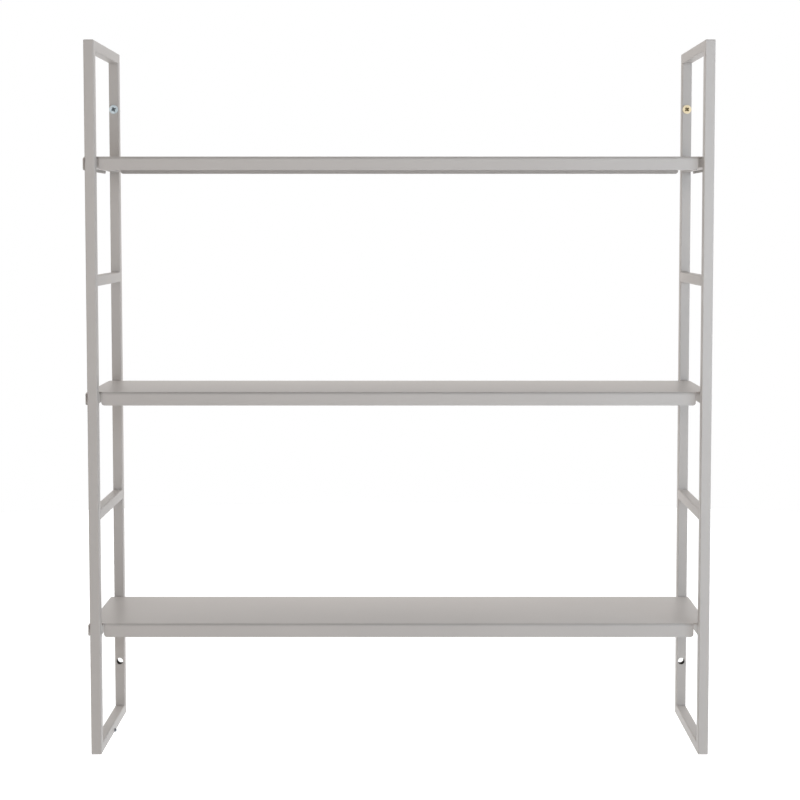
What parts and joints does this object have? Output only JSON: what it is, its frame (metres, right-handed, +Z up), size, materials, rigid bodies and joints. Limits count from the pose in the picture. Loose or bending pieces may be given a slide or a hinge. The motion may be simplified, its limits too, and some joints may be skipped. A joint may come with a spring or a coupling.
{
  "type": "wall shelf",
  "caption": "Wall shelf with welded ladder side frames of square tube and folded sheet shelves that hook over the rungs and lift off.",
  "frame": {"origin": "on the wall plane, midway between the two upper wall screws that the shelf hangs from", "axes": "+X to the right along the shelves, +Y into the wall, +Z up"},
  "size_m": [0.6065, 0.1736, 0.69],
  "materials": {
    "frame_coat": "matte warm grey powder coat with a fine texture",
    "shelf_coat": "matte warm grey powder coat with a fine texture",
    "zinc_screw": "bluish zinc plating",
    "yellow_zinc_screw": "yellow zinc plating",
    "zinc_rivet": "dull zinc plating"
  },
  "bodies": {
    "frames": {"left_front_post": "frame_coat", "left_back_post": "frame_coat", "left_top_rail": "frame_coat", "left_bottom_rail": "frame_coat", "left_rung_1": "frame_coat", "left_rung_2": "frame_coat", "left_rung_3": "frame_coat", "left_rung_4": "frame_coat", "left_rung_5": "frame_coat", "right_front_post": "frame_coat", "right_back_post": "frame_coat", "right_top_rail": "frame_coat", "right_bottom_rail": "frame_coat", "right_rung_1": "frame_coat", "right_rung_2": "frame_coat", "right_rung_3": "frame_coat", "right_rung_4": "frame_coat", "right_rung_5": "frame_coat", "left_wall_screw": "zinc_screw", "right_wall_screw": "yellow_zinc_screw", "rail_rivet": "zinc_rivet"},
    "bottom_shelf": {"bottom_shelf": "shelf_coat"},
    "middle_shelf": {"middle_shelf": "shelf_coat"},
    "top_shelf": {"top_shelf": "shelf_coat"}
  },
  "joints": [
    {"name": "bottom_shelf_lift", "type": "slide", "parent": "frames", "child": "bottom_shelf", "axis": [0, 0, 1], "range_m": [0, 0.102]},
    {"name": "middle_shelf_lift", "type": "slide", "parent": "frames", "child": "middle_shelf", "axis": [0, 0, 1], "range_m": [0, 0.102]},
    {"name": "top_shelf_lift", "type": "slide", "parent": "frames", "child": "top_shelf", "axis": [0, 0, 1], "range_m": [0, 0.0995]}
  ]
}
